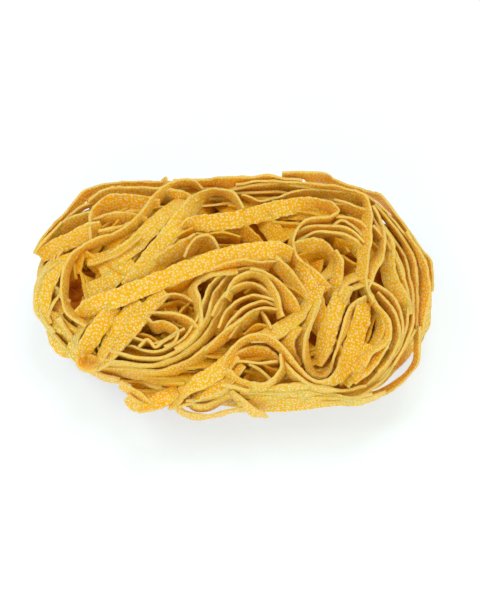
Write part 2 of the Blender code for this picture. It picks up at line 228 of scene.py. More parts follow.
# Round the left end
AT_LEFT = (
    ((50, 328, 10), (56, 342, 12), (64, 350, 14), (72, 352, 12)),
    ((46, 324, 5), (56, 338, 6), (68, 351, 6), (80, 362, 6), (92, 371, 7), (104, 377, 7), (120, 381, 6)),
    ((62, 260, 5), (49, 266, 7), (41, 278, 8), (37, 293, 8), (38, 309, 8), (45, 322, 7), (54, 334, 6)),
    ((66, 298, 12), (60, 308, 14), (54, 318, 14), (52, 328, 10)),
    ((68, 346, 12), (80, 355, 15), (92, 361, 14), (106, 364, 8)),
    ((50, 316, 12), (60, 324, 14), (72, 332, 12), (84, 340, 8)),
    ((58, 318, 8), (66, 332, 8), (74, 346, 7), (82, 360, 6)),
    ((76, 254, 8), (60, 264, 14), (50, 278, 17), (44, 296, 17), (43, 312, 14), (49, 325, 7)),
    ((62, 292, 4), (54, 303, 5), (48, 314, 5)),
    ((98, 318, 14), (86, 332, 16), (78, 346, 12), (80, 358, 7)),
    ((84, 324, 8), (78, 334, 8), (76, 346, 8)),
    ((134, 262, 14), (118, 274, 17), (102, 286, 17), (84, 293, 17)),
    ((182, 200, 10), (166, 214, 14), (150, 230, 16), (136, 244, 17), (120, 256, 17), (100, 272, 14)),
    ((140, 236, 6), (124, 248, 8), (106, 256, 10), (88, 262, 10)),
    ((88, 326, 6), (78, 319, 7), (70, 310, 7), (65, 297, 7), (65, 282, 7), (68, 268, 7), (75, 256, 8),
     (85, 248.5, 8), (97, 243, 8), (111, 238, 8.5), (126, 231, 9), (139, 221, 9), (148, 211, 9),
     (157, 199, 9), (167, 189, 9), (178, 184, 8), (190, 184, 8), (201, 190, 6)),
)

# The two nests of rings in the middle and in front of it on the left
IN_BOWL = (
    ((96, 368, 8), (115, 371, 9), (140, 374, 10), (165, 373, 10), (188, 365, 10), (206, 352, 10),
     (224, 338, 10), (242, 324, 12), (258, 316, 10)),
    ((104, 362, 7), (125, 365, 7), (150, 367, 7), (172, 362, 8), (190, 352, 8), (206, 338, 9), (219, 320, 9),
     (226, 303, 8), (234, 289, 8), (246, 280, 8)),
    ((114, 354, 6), (138, 359, 6), (160, 360, 6), (178, 353, 7), (196, 340, 8), (208, 322, 8), (214, 304, 8),
     (221, 289, 8), (232, 277, 8), (248, 271, 8), (264, 273, 8)),
    ((122, 345, 6), (142, 351, 6), (158, 353, 6), (175, 347, 7), (190, 334, 7), (200, 318, 7), (206, 302, 7),
     (213, 287, 7), (226, 274, 8)),
    ((126, 336, 6), (142, 342, 6), (156, 345, 6), (170, 340, 7), (186, 330, 7)),
    ((158, 303, 5), (170, 297, 6), (182, 297, 6), (194, 304, 6)),
    ((150, 314, 5), (162, 316, 6), (176, 317, 8), (188, 323, 10), (198, 334, 10)),
    ((145, 321, 5), (155, 327, 9), (166, 327, 10), (176, 332, 8), (174, 341, 6), (164, 346, 5)),
    ((142, 346, 4), (148, 341, 5), (156, 348, 5), (166, 342, 6), (176, 336, 6)),
    ((238, 271, 7), (222, 272, 7), (208, 275, 7), (198, 281, 7), (194, 290, 7), (197, 302, 7), (199, 314, 7),
     (197, 326, 8), (188, 338, 8), (174, 348, 8)),
    ((214, 318, 7), (222, 302, 7), (232, 292, 7), (244, 287, 7), (258, 288, 7), (268, 296, 7),
     (274, 306, 6)),
    ((220, 330, 7), (230, 312, 7), (240, 302, 6), (252, 298, 6), (264, 299, 6), (276, 303, 6)),
    ((226, 334, 7), (236, 319, 7), (246, 309, 6), (258, 305, 6), (270, 305, 6), (278, 308, 6)),
    ((232, 338, 7), (240, 326, 7), (250, 315, 6), (262, 310, 6), (278, 311, 6)),
    ((210, 352, 9), (222, 340, 9), (232, 330, 9), (244, 322, 8), (254, 314, 6)),
    ((228, 300, 8), (234, 286, 8), (243, 278, 8), (254, 275, 8), (264, 280, 8), (271, 291, 8), (277, 303, 8),
     (281, 318, 7)),
    ((262, 314, 5), (266, 322, 5), (271, 331, 5)),
)

# Round the right end, with its rings
AT_RIGHT = (
    ((392, 352, 10), (400, 340, 12), (408, 326, 12)),
    ((374, 206, 5), (386, 220, 5), (397, 234, 5), (406, 248, 6), (411, 262, 7), (413, 280, 8), (413, 300, 9),
     (413, 316, 9), (414, 334, 8)),
    ((405, 234, 6), (414, 247, 7), (420, 261, 9), (424, 276, 10), (425, 292, 10), (423, 308, 10),
     (420, 324, 9), (417, 340, 7)),
    ((418, 326, 6), (417, 343, 6), (416, 358, 5), (409, 371, 5), (398, 382, 6), (384, 391, 7), (366, 398, 8),
     (346, 402, 8)),
    ((411, 330, 7), (402, 346, 8), (391, 361, 8), (380, 374, 8), (368, 385, 7), (350, 395, 7)),
    ((372, 212, 5), (382, 226, 5), (392, 240, 5), (400, 254, 6), (405, 268, 6), (407, 286, 8), (409, 302, 9),
     (410, 322, 8), (404, 341, 7), (392, 363, 7), (380, 379, 7), (365, 391, 7), (346, 398, 7),
     (322, 400, 7)),
    ((370, 216, 5), (378, 230, 6), (388, 244, 6), (396, 258, 6), (401, 272, 7), (403, 290, 8), (405, 306, 8),
     (405, 324, 7), (399, 343, 7), (388, 361, 7), (375, 377, 7), (359, 389, 7), (340, 395, 7),
     (318, 393, 7)),
    ((372, 228, 6), (381, 240, 8), (389, 254, 9), (395, 268, 10), (400, 284, 12), (404, 300, 12),
     (406, 316, 10)),
    ((384, 232, 6), (389, 248, 10), (388, 264, 13), (391, 280, 14), (400, 296, 14), (408, 312, 12)),
    ((331, 228, 4), (342, 222, 5), (350, 226, 5), (357, 232, 5), (364, 240, 5)),
    ((292, 238, 7), (306, 231, 8), (318, 229, 8), (330, 229, 8), (343, 231, 8), (353, 236, 8),
     (363, 245, 7)),
    ((292, 246, 4), (304, 238, 5), (318, 234, 6), (331, 234, 6), (343, 237, 8), (352, 243, 11),
     (362, 254, 13)),
    ((294, 250, 12), (306, 246, 15), (318, 246, 15), (328, 251, 10), (333, 260, 8), (330, 270, 9),
     (320, 280, 10)),
    ((334, 252, 6), (338, 262, 9), (337, 274, 12), (332, 288, 14), (326, 302, 12)),
    ((364, 275, 7), (352, 278, 8), (342, 284, 8), (336, 296, 7)),
    ((366, 284, 6), (354, 286, 8), (346, 292, 9), (340, 302, 8)),
    ((296, 268, 12), (306, 282, 16), (314, 298, 17), (318, 314, 16), (314, 332, 12)),
    ((366, 282, 6), (379, 289, 8), (391, 300, 8), (398, 314, 8), (400, 328, 8), (396, 342, 8), (388, 355, 8),
     (379, 367, 9), (367, 380, 9), (351, 389, 8)),
    ((376, 294, 6), (386, 305, 7), (394, 318, 7), (397, 332, 7), (394, 346, 7), (387, 358, 8),
     (376, 370, 8)),
    ((372, 304, 8), (378, 317, 9), (380, 330, 9), (374, 343, 8), (364, 352, 7)),
    ((368, 344, 12), (362, 358, 14), (354, 372, 14), (344, 384, 12)),
    ((386, 340, 10), (378, 354, 12), (366, 368, 13), (352, 380, 12)),
    ((365, 290, 6), (372, 302, 7), (381, 315, 8), (387, 327, 8), (386, 338, 8), (378, 346, 8), (369, 353, 8),
     (361, 364, 9)),
)

# Between the rings in the middle
IN_MIDDLE = (
    ((214, 271, 8), (228, 266, 9), (245, 264, 9), (262, 266, 9), (277, 263, 6)),
    ((274, 261, 10), (284, 271, 13), (293, 283, 14), (301, 296, 13), (306, 310, 8)),
    ((250, 272, 8), (264, 276, 9), (276, 284, 10), (286, 296, 11), (293, 309, 12), (300, 322, 10)),
    ((308, 304, 8), (298, 317, 12), (285, 327, 14), (270, 335, 13), (254, 338, 9)),
    ((318, 300, 8), (309, 318, 10), (303, 334, 12), (298, 348, 12), (300, 364, 10)),
    ((298, 326, 10), (289, 338, 13), (289, 352, 13), (296, 366, 10)),
    ((236, 358, 8), (247, 353, 11), (259, 352, 12), (270, 357, 11), (279, 364, 8)),
    ((230, 364, 6), (246, 363, 6), (262, 365, 6), (278, 362, 5)),
    ((248, 364, 5), (258, 370, 6), (268, 379, 6), (276, 384, 5)),
    ((347, 286, 12), (339, 302, 16), (332, 320, 17), (327, 338, 17), (322, 353, 14), (318, 366, 8)),
    ((158, 264, 14), (172, 254, 15), (186, 246, 14), (198, 238, 10)),
    ((186, 259, 7), (192, 248, 10), (200, 241, 11), (208, 240, 11), (214, 245, 9), (219, 252, 6)),
)

# Along the front
IN_FRONT = (
    ((127, 397, 10), (133, 404, 12), (143, 407, 9)),
    ((120, 384, 9), (130, 391, 10), (141, 399, 10), (153, 407, 8)),
    ((176, 402, 7), (180, 411, 8), (190, 416, 8), (204, 417, 7), (222, 414, 6), (240, 410, 6),
     (258, 408, 8)),
    ((186, 398, 7), (194, 407, 8), (206, 408, 8), (220, 402, 8), (232, 396, 7)),
    ((186, 404, 7), (200, 402, 8), (214, 398, 8), (228, 391, 8), (242, 384, 8)),
    ((238, 406, 10), (260, 405, 13), (285, 404, 14), (310, 402, 13), (335, 401, 10), (360, 401, 8),
     (382, 395, 6)),
    ((240, 395, 8), (268, 396, 8), (298, 394, 9), (325, 397, 8), (350, 400, 7), (372, 396, 6)),
    ((228, 388, 10), (246, 392, 13), (268, 393, 14), (290, 390, 13), (310, 388, 10)),
    ((178, 390, 12), (166, 398, 15), (153, 405, 13), (138, 412, 5)),
    ((286, 368, 7), (296, 377, 8), (309, 386, 8), (325, 391, 8), (346, 393, 8), (366, 388, 7)),
    ((242, 364, 10), (228, 380, 14), (213, 388, 15), (199, 394, 13), (185, 401, 11), (176, 407, 7)),
    ((236, 354, 12), (223, 367, 17), (208, 378, 17), (194, 385, 15), (184, 391, 13), (178, 400, 9),
     (172, 409, 6)),
    ((228, 372, 9), (236, 382, 12), (250, 388, 13), (264, 388, 11), (276, 380, 9), (284, 368, 8),
     (283, 354, 7)),
    ((222, 386, 5), (234, 389, 7), (248, 393, 8)),
    ((230, 391, 7), (240, 400, 8), (250, 409, 8), (258, 415, 8), (264, 417, 5)),
)

# On top of all the others
ON_TOP = (
    ((182, 228, 8), (192, 224, 15), (210, 223, 18), (230, 221, 18), (250, 216, 18), (270, 211, 18),
     (290, 207, 18), (308, 205, 16), (322, 205, 12), (332, 208, 8), (336, 214, 4), (330, 219, -6),
     (318, 221, -8), (304, 224, -7), (295, 231, 4), (291, 242, 6), (293, 255, 8), (302, 267, 11),
     (314, 278, 14), (326, 292, 16)),
    ((128, 288, 16), (140, 272, 17), (153, 254, 17), (165, 240, 17), (176, 226, 17), (187, 213, 16),
     (197, 202, 13), (208, 193.5, 9), (220, 192, 7), (232, 197, 7), (240, 206, 7), (244, 213, 6)),
    ((116, 308, -14), (104, 321, -17), (92, 338, -17), (83, 355, -13), (81, 364, -8), (88, 369, -7),
     (97, 366, -8), (104, 352, -11), (113, 336, -14), (125, 320, -17), (142, 302, -16)),
    ((166, 292, 10), (152, 304, 15), (138, 321, 16), (124, 339, 14), (110, 356, 10), (100, 365, 7)),
    ((78, 314, 10), (88, 309, 16), (104, 302, 18), (122, 296, 18), (140, 289, 18), (165, 279, 18),
     (190, 269, 18), (215, 260, 18), (240, 254, 18), (262, 251, 18), (280, 251, 17), (292, 256, 15)),
    ((372, 208, 5), (379, 222, 5), (382, 237, 6), (380, 252, 7), (374, 265, 9), (368, 278, 10),
     (366, 290, 9), (372, 302, 7)),
    ((356, 194, 6), (364, 200, 7), (367, 213, 8), (366, 230, 10), (365, 248, 10), (363, 264, 10),
     (362, 280, 10), (366, 293, 8), (373, 304, 7)),
    ((228, 366, 10), (233, 354, 10), (241, 345, 9), (252, 339, 9), (265, 339, 9), (276, 345, 8),
     (286, 355, 8), (296, 368, 7), (306, 378, 7), (318, 384, 7), (330, 383, 9), (340, 374, 12),
     (348, 361, 16), (353, 347, 17), (358, 331, 17), (362, 316, 16), (364, 302, 12)),
    ((318, 286, 14), (313, 302, 12), (309, 320, 9), (306, 344, -6), (307, 360, -7), (312, 370, -8),
     (321, 375, -8), (330, 366, -6), (337, 352, 5), (343, 336, 7), (348, 320, 8), (354, 308, 9),
     (366, 300, 9)),
)

# The groups in the order in which they are laid, by the names of their pieces
SHOWING = {
    "deep": DEEP_IN,
    "back": AT_BACK,
    "left": AT_LEFT,
    "bowl": IN_BOWL,
    "right": AT_RIGHT,
    "middle": IN_MIDDLE,
    "front": IN_FRONT,
    "top": ON_TOP,
}

# The windings of the tangle under the showing noodles: their shares of its half sizes in pixels
RINGS = (0.95, 0.9, 0.84, 0.78, 0.71, 0.64, 0.56, 0.48, 0.4, 0.31, 0.22, 0.13)
TWO_WINDINGS_ABOVE = 0.3
RINGS_WIDE = 190
RINGS_HIGH = 112
RING_SWEEP = (2.2, 4.6)
RING_KNOTS_PER_RADIAN = 3
RING_FEWEST_KNOTS = 5
RING_WIDTHS = (7.0, 10.0, 13.0, 16.0)
RING_NEAR_EDGES = (1, 1, -1)
RING_WOBBLE = 0.04
RING_FRONT_LEFT = (0.9, 0.88)

# Noodles wound round the sides: number, heights, how far in they lie and how far round they go
SIDE_COUNT = 30
SIDE_LOW = 0.0034
SIDE_HIGH = 0.0215
SIDE_TOP = 0.025
SIDE_DEEPEST = 0.0068
SIDE_OUTERMOST = 0.0016
SIDE_FRONT_INSET = 0.0036
SIDE_SWEEP = (2.4, 5.6)
SIDE_SAMPLES = 260

# How they rise, fall and lean, and their unevenness (size, shortest and longest wave in radians)
SIDE_WAVE = 0.003
SIDE_WAVE_SHARES = (0.4, 1)
SIDE_SECOND_WAVE = 0.5
SIDE_UNEVEN_HEIGHT = (0.0005, 0.6, 1.4)
SIDE_UNEVEN_INSET = (0.0004, 0.5, 1.5)
SIDE_TWIST = (0.28, 0.8, 2.6)
SIDE_LEAN = 0.3
SIDE_LEAN_ABOVE_WAIST = 0.9

# How far in their ends are tucked, or out if below zero, and the angle over which that happens
END_TUCKS = (0.003, 0.003, 0.001, -0.0012)
END_REACH = 0.22

# On the right a gap shows behind and one in front, inside the outermost noodles: angle, spread and how far
# the noodles wound round the sides give way, from this height up
GAPS = ((0.62, 0.32, 0.0036), (-0.45, 0.16, 0.0038))
GAPS_FROM = 0.008
GAPS_BLEND = 0.004

# Long rings of noodle under the nest, from the outermost in
UNDER_RINGS = 9
UNDER_OUTERMOST = 0.96
UNDER_RING_STEP = 0.1
UNDER_HEIGHT = 0.0016
UNDER_HEIGHT_STEP = 0.0004
UNDER_HEIGHTS = 3
UNDER_INSET = 0.004
UNDER_SWEEP = (4.0, 6.2)
UNDER_FULL_SWEEP = 6.3
UNDER_SAMPLES_LEAST = 0.4
UNDER_RISE = 0.0004
UNDER_WAVE_X = 0.002
UNDER_WAVE_Y = 0.0014
UNDER_TILT = 0.3
UNDER_TILT_WAVE = 0.2

# Short noodles that cross them: reach to each side, bow and distance from the middle
SHORT_COUNT = 6
SHORT_SAMPLES = 110
SHORT_REACH = (0.016, 0.028)
SHORT_STRETCH_X = 1.5
SHORT_STRETCH_Y = 0.75
SHORT_BOW = 0.012
SHORT_SHIFT_X = 0.016
SHORT_SHIFT_Y = 0.006
SHORT_HEIGHT = 0.0018
SHORT_TILT = 0.15

# The filled middle: how far inside the bed and above the floor it lies, and how finely it is divided
CORE_INSET = 0.0085
CORE_TOP_INSET = 0.0022
CORE_LIFT = 0.003
CORE_BLEND = 0.4
CORE_RINGS = 60
CORE_SIDES = 150

# Colours of the pasta in linear light, outside and deep in the nest, where darker, redder colours are
# painted shade
OUTER = {
    "deep": (0.92, 0.49, 0.001),
    "usual": (0.94, 0.56, 0.002),
    "pale": (0.96, 0.66, 0.08),
    "dots": (0.99, 0.9, 0.74),
    "cut_edge": (0.99, 0.81, 0.36),
}
# Painted shade: darker, redder colours for the noodles deep in the openings and for the tangle under the
# showing ones
INNER_PAINTED_SHADE = {
    "deep": (0.84, 0.37, 0.0),
    "usual": (0.86, 0.45, 0.001),
    "pale": (0.89, 0.52, 0.006),
    "dots": (0.94, 0.72, 0.25),
    "cut_edge": (0.94, 0.67, 0.14),
}
# Painted shade: the filled middle's dark colours, which show in the openings, its bands running from the
# darker to the lighter
CORE_PAINTED_SHADE = (0.76, 0.28, 0.002)
CORE_DARKER_PAINTED_SHADE = (0.62, 0.19, 0.001)

# The pasta's noises, each with its scale and detail, and its dots
BLOTCHES = (500.0, 3.0)
PATCHES = (900.0, 2.0)
GRAINS = (2400.0, 4.0)
DOT_SCALE = 1020.0
DOT_SCATTER = 0.75
DOT_SIZE = (0.19, 0.37)

# Where in its shade the pasta changes colour, and how strong dots, sand and edges are
TONE_SHARE = 0.35
DEEP_TO_USUAL = (0.4, 0.68)
USUAL_TO_PALE = (0.66, 0.98)
DOT_STRENGTH = (0.6, 1.0)
SAND_FROM = (0.42, 0.62)
MOST_SAND = 0.2
EDGE_FROM = (0.93, 0.99)
EDGE_STRENGTH = (0.3, 0.8)
COARSENESS = (0.35, 0.6)

# The pasta's shine, its relief and how light goes into it
ROUGHNESS = (0.42, 0.62)
SHINE = {
    "Specular IOR Level": 0.28,
    "Subsurface Weight": 0.3,
    "Subsurface Radius": (1.0, 0.35, 0.02),
    "Subsurface Scale": 0.002,
}
DOT_RELIEF = 0.6
GRAIN_RELIEF = 0.8
PASTA_RELIEF = (0.5, 0.00012)

# The core's bands and relief
BANDS = {"Scale": 70.0, "Distortion": 6.0}
CORE_RELIEF = (0.8, 0.001)

# The floor, bluish so that its shadow stays grey under the warm light, and glowing with painted light that
# lightens the nest's shadow and keeps it white
FLOOR_HALF_SIZE = 3.0
FLOOR_COLOUR = (0.74, 0.87, 1.0, 1.0)
FLOOR_GLOW = (0.44, 0.54, 0.92, 1.0)
FLOOR_GLOW_STRENGTH = 0.6

# The studio's soft light, and its lamps: place, side in metres, power in watts and colour
SKY_COLOUR = (1.0, 0.86, 0.4, 1.0)
SKY_STRENGTH = 0.66
LAMPS = {
    "back_lamp": ((0.15, 0.34, 0.82), 0.36, 1.25, (1.0, 1.0, 1.0)),
    "left_lamp": ((-0.42, 0.02, 0.8), 0.4, 1.1, (1.0, 0.98, 0.94)),
    "front_fill": ((-0.2, -0.75, 0.5), 0.6, 1.35, (1.0, 0.84, 0.54)),
    "right_fill": ((0.75, -0.2, 0.4), 0.6, 0.7, (1.0, 0.84, 0.54)),
}


class Noodles:
    """Gathers many noodles and makes one mesh piece of them."""

    def __init__(self, name):
        self.name = name
        self.points = []
        self.faces = []
        self.across = []
        self.tone = []
        self.map = []
        self.count = 0

    def add(self, middle, width_way, rng):
        """Sweeps one noodle along its middle line, with its waves, its curl and its ragged cut edges."""
        count = len(middle)
        along = unit(np.gradient(middle, axis=0))
        width_way = unit(width_way - along * np.sum(width_way * along, axis=1)[:, None])
        thick_way = np.cross(along, width_way)
        travelled = distances(middle)
        curl = rng.uniform(-CURL, CURL)
        frill = wave(travelled, rng, *FRILL)
        bend = wave(travelled, rng, *BEND)
        width = NOODLE_WIDTH * rng.uniform(*WIDTH_SHARES)
        thick = NOODLE_THICKNESS * rng.uniform(*THICKNESS_SHARES)
        tone = rng.random()
        offset = rng.uniform(0, 1)
        for face in (1, -1):
            for share in ACROSS * face:
                at_edge = abs(share) == 1
                ragged = roughness(count, rng, RAGGEDNESS) if at_edge else np.zeros(count)
                sideways = share * (width / 2) + np.sign(share) * ragged
                half = face * thick / 2 * (EDGE_THICKNESS if at_edge else 1)
                lift = half + curl * (share**2 - CURL_BALANCE) + frill * share + bend
                self.points.append(middle + width_way * sideways[:, None] + thick_way * lift[:, None])
                self.across.append(np.full(count, share))
                self.tone.append(np.full(count, tone))
                beside = np.full(count, share * width / 2 + offset * MAP_SHIFT * face)
                self.map.append(np.stack([travelled + offset, beside], axis=1))
        self.close(count)

    def close(self, count):
        """Joins the newest noodle's lines of points into faces, with a cap at each end."""
        lines = 2 * len(ACROSS)
        row = np.arange(count - 1)
        for line in range(lines):
            here = self.count + line * count + row
            beside = self.count + (line + 1) % lines * count + row
            self.faces.append(np.stack([here, here + 1, beside + 1, beside], axis=1))
        first = self.count + np.arange(lines) * count
        self.faces.append(cap(first))
        self.faces.append(cap(first + count - 1)[:, ::-1])
        self.count += lines * count

    def piece(self, material):
        """Makes the mesh object of all the noodles gathered."""
        points = np.concatenate(self.points)
        points[:, 2] = np.maximum(points[:, 2], FLOOR_CLEARANCE)
        data = bpy.data.meshes.new(self.name)
        data.from_pydata(points.tolist(), [], np.concatenate(self.faces).tolist())
        for name, values in (("across", self.across), ("tone", self.tone)):
            attribute = data.attributes.new(name, "FLOAT", "POINT")
            attribute.data.foreach_set("value", np.concatenate(values).astype(np.float32))
        layer = data.uv_layers.new(name=MAP_NAME)
        corners = np.zeros(len(data.loops), dtype=np.int32)
        data.loops.foreach_get("vertex_index", corners)
        layer.data.foreach_set("uv", np.concatenate(self.map)[corners].astype(np.float32).ravel())
        outward(data)
        data.materials.append(material)
        data.shade_smooth()
        data.set_sharp_from_angle(angle=SHARP_ANGLE)
        claim(in_scene(self.name, data))


def cap(ring):
    """Four-sided faces that close a noodle's cut end."""
    half = len(ring) // 2
    top = ring[:half]
    bottom = ring[half:][::-1]
    return np.stack([top[:-1], top[1:], bottom[1:], bottom[:-1]], axis=1)


def outward(data):
    """Turns the faces of a closed mesh so that they point out."""
    mesh = bmesh.new()
    mesh.from_mesh(data)
    bmesh.ops.recalc_face_normals(mesh, faces=mesh.faces)
    mesh.to_mesh(data)
    mesh.free()


def mesh_data(name, mesh):
    """The finished data of a mesh that was under construction."""
    data = bpy.data.meshes.new(name)
    mesh.to_mesh(data)
    mesh.free()
    return data


def in_scene(name, data):
    """A new object in the scene."""
    obj = bpy.data.objects.new(name, data)
    bpy.context.scene.collection.objects.link(obj)
    return obj


def claim(obj):
    """The piece rides on the nest and stands for its plain solid."""
    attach(obj, BODY)
    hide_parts(NODE)


def unit(vectors):
    """Vectors brought to length one."""
    return vectors / np.linalg.norm(vectors, axis=1)[:, None]


def distances(points):
    """How far along a line each of its points lies."""
    return np.concatenate([[0], np.cumsum(np.linalg.norm(np.diff(points, axis=0), axis=1))])


def wave(along, rng, size, shortest, longest):
    """A smooth random wave along a noodle."""
    total = np.zeros_like(along)
    for _ in range(WAVES_ADDED):
        length = rng.uniform(shortest, longest)
        total += np.sin(along * TURN / length + rng.uniform(0, TURN))
    return total * size / WAVES_PEAK


def roughness(count, rng, size):
    """Small ragged steps from point to point."""
    values = np.array([rng.gauss(0, 1) for _ in range(count)])
    return smoothed(values, 1) * size


def smoothed(values, reach):
    """Values averaged over their neighbours with a bell curve."""
    offsets = np.arange(-2 * reach, 2 * reach + 1)
    weights = np.exp(-0.5 * (offsets / reach) ** 2)
    padded = np.pad(values, 2 * reach, mode="edge")
    return np.convolve(padded, weights / weights.sum(), mode="valid")


def bed_sizes(inset):
    """Half the nest's length and depth, less an inset."""
    return NEST_LENGTH / 2 - inset, NEST_DEPTH / 2 - inset


def roundness_at(x, y):
    """The plan's rounding, which is softer at the corner in front on the left."""
    return np.where((x < 0) & (y < 0), ROUNDNESS_FRONT_LEFT, ROUNDNESS_PLAN)


def taper_at(y, height):
    """How much narrower the front is below the waist."""
    return np.where(y < 0, 1 - FRONT_TAPER * np.clip((WAIST - height) / WAIST, 0, 1), 1.0)


def upright_part(height):
    """How much of the bed's rounding is used up at a height: 0 at its waist and 1 at its top."""
    above = np.clip((height - WAIST) / (NEST_HEIGHT - BED_TOP_INSET - WAIST), 0, None)
    below = np.clip((WAIST - height) / BELOW_WAIST, 0, None)
    return above**ROUNDNESS_ABOVE + below**ROUNDNESS_BELOW


def bed_level(points):
    """Below 1 inside the bed's rounded form, above 1 outside it."""
    half_length, half_depth = bed_sizes(BED_INSET)
    power = roundness_at(points[..., 0], points[..., 1])
    x = np.abs(points[..., 0]) / half_length
    y = np.abs(points[..., 1]) / half_depth / taper_at(points[..., 1], points[..., 2])
    return x**power + y**power + upright_part(points[..., 2])


def outline(angle, height, inset, scale=1.0):
    """The place on the nest's side at an angle and a height."""
    half_length, half_depth = bed_sizes(inset)
    across = np.cos(angle)
    away = np.sin(angle)
    power = roundness_at(across, away)
    share = np.clip(1 - upright_part(height), 0, 1) ** (1 / power) * scale
    x = half_length * share * np.sign(across) * np.abs(across) ** (2 / power)
    y = half_depth * share * np.sign(away) * np.abs(away) ** (2 / power)
    return x, y * taper_at(away, height)


def placed(across, down, depth):
    """The point that the camera sees at a pixel, at a depth towards the camera."""
    shrink = (DISTANCE - depth) / DISTANCE
    across = (across - MIDDLE_X) * STEP * shrink
    down = (MIDDLE_Y - down) * STEP * shrink
    return MIDDLE + across[..., None] * RIGHT + down[..., None] * UP + depth[..., None] * TOWARD


def seen_at(points):
    """The pixel and the depth at which the camera sees points."""
    depth = (points - MIDDLE) @ TOWARD
    grow = DISTANCE / (DISTANCE - depth) / STEP
    across = MIDDLE_X + (points - MIDDLE) @ RIGHT * grow
    down = MIDDLE_Y - (points - MIDDLE) @ UP * grow
    return across, down, depth


def bed_depths():
    """For each pixel, the depth at which the line of sight meets the bed or passes nearest it."""
    down, across = np.mgrid[0:GRID_HIGH, 0:GRID_WIDE]
    across = across + GRID_LEFT
    down = down + GRID_TOP
    found = np.zeros(across.shape)
    lowest_level = np.full(across.shape, np.inf)
    for depth in np.arange(BED_SEARCH, -BED_SEARCH, -STEP):
        level = bed_level(placed(across, down, np.full(across.shape, depth)))
        better = (level < lowest_level) & (lowest_level > 1)
        found[better] = depth
        lowest_level[better] = level[better]
    return found - opened(across, down)


def opened(across, down):
    """How much deeper the bed lies at a pixel, for the openings."""
    total = np.zeros(np.shape(across))
    for middle_x, middle_y, reach_x, reach_y, deep in OPENINGS:
        away = ((across - middle_x) / reach_x) ** 2 + ((down - middle_y) / reach_y) ** 2
        total = np.maximum(total, deep * np.exp(-away**2))
    return total


def beside_openings(middle, width_way):
    """The parts of a noodle that don't cross an opening, without the shortest ones."""
    across, down, _ = seen_at(middle)
    closed = opened(across, down) < OPEN_FROM
    changes = np.flatnonzero(np.diff(closed.astype(int))) + 1
    for part in np.split(np.arange(len(middle)), changes):
        if closed[part[0]] and len(part) >= FEWEST_SAMPLES:
            yield middle[part], width_way[part]


def smooth_samples(knots, count):
    """Evenly spaced samples of the smooth curve through the knots."""
    along = distances(knots[:, :2])
    slopes = np.gradient(knots, along, axis=0)
    wanted = np.linspace(0, along[-1], count)
    before = np.clip(np.searchsorted(along, wanted, side="right") - 1, 0, len(along) - 2)
    span = (along[before + 1] - along[before])[:, None]
    share = ((wanted - along[before]) / span[:, 0])[:, None]
    rise = share * share * (3 - 2 * share)
    start = share * (1 - share) ** 2 * span * slopes[before]
    end = -share * share * (1 - share) * span * slopes[before + 1]
    return knots[before] * (1 - rise) + knots[before + 1] * rise + start + end


def with_turns(knots):
    """Knots with each seen width changed to the angle between the noodle's width and the picture."""
    thin = NOODLE_THICKNESS / STEP
    wide = NOODLE_WIDTH / STEP
    turned = []
    for across, down, seen in knots:
        share = min(max((abs(seen) - thin) / (wide - thin), 0.0), 1.0)
        turned.append((across, down, math.acos(math.copysign(share, seen))))
    return np.array(turned)


def cells_at(places):
    """The rows and columns of the grid at pixels, kept inside the grid."""
    column = np.clip(np.round(places[:, 0] - GRID_LEFT).astype(int), 0, GRID_WIDE - 1)
    row = np.clip(np.round(places[:, 1] - GRID_TOP).astype(int), 0, GRID_HIGH - 1)
    return row, column


def footprint(places, left, turn):
    """The grid's cells under each strip of a noodle, and how far its turn lifts the strip."""
    half_wide = NOODLE_WIDTH / 2
    half_thin = NOODLE_THICKNESS / 2
    for share in SHARES_ACROSS:
        for side in (-1, 0, 1):
            shift = share * half_wide * np.cos(turn) - side * half_thin * np.sin(turn)
            yield cells_at(places + left * (shift / STEP)[:, None]), share * half_wide * np.sin(turn)


def settled(knots, surface, bed, most_rise, pressed_down):
    """One noodle laid on the surface: its middle line and width direction. The surface is raised over it.

    A noodle pressed down raises the surface only as far as it rises itself.
    """
    length = sum(math.dist(a[:2], b[:2]) for a, b in zip(knots, knots[1:]))
    samples = smooth_samples(with_turns(knots), max(FEWEST_SAMPLES, round(length / SAMPLE_STEPS)))
    places = samples[:, :2]
    turn = np.clip(samples[:, 2], 0, math.pi)
    travel = unit(np.gradient(places, axis=0))
    left = np.stack([travel[:, 1], -travel[:, 0]], axis=1)
    covered = list(footprint(places, left, turn))
    half_upward = NOODLE_THICKNESS / 2 * np.abs(np.cos(turn))
    wanted = np.full(len(places), -np.inf)
    for cells, lift in covered:
        wanted = np.maximum(wanted, surface[cells] - lift + half_upward)
    wanted -= EDGE_SINK * NOODLE_WIDTH * np.sin(turn)
    reach = 2 * SMOOTHING
    peaks = np.array([wanted[max(0, i - reach):i + reach + 1].max() for i in range(len(wanted))])
    depth = smoothed(peaks, SMOOTHING)
    base = smoothed(bed[cells_at(places)], SMOOTHING)
    limited = base + most_rise * np.tanh((depth - base) / most_rise)
    raised = limited if pressed_down else depth
    for cells, lift in covered:
        np.maximum.at(surface, cells, raised + lift + half_upward)
    middle = placed(places[:, 0], places[:, 1], limited)
    in_view = left[:, :1] * RIGHT - left[:, 1:] * UP
    width_way = np.cos(turn)[:, None] * in_view + np.sin(turn)[:, None] * TOWARD
    return middle, width_way


def raise_surface(middle, width_way, surface):
    """Raises the surface over a noodle that is already in place."""
    for share in SHARES_ACROSS:
        across, down, depth = seen_at(middle + width_way * (share * NOODLE_WIDTH / 2))
        column = np.round(across - GRID_LEFT).astype(int)
        row = np.round(down - GRID_TOP).astype(int)
        inside = (column >= 0) & (column < GRID_WIDE) & (row >= 0) & (row < GRID_HIGH)
        np.maximum.at(surface, (row[inside], column[inside]), depth[inside] + NOODLE_THICKNESS / 2)


def rounded(value):
    """A sine or cosine bent from a circle's to the plan's rounding."""
    return math.copysign(abs(value) ** (2 / ROUNDNESS_PLAN), value)


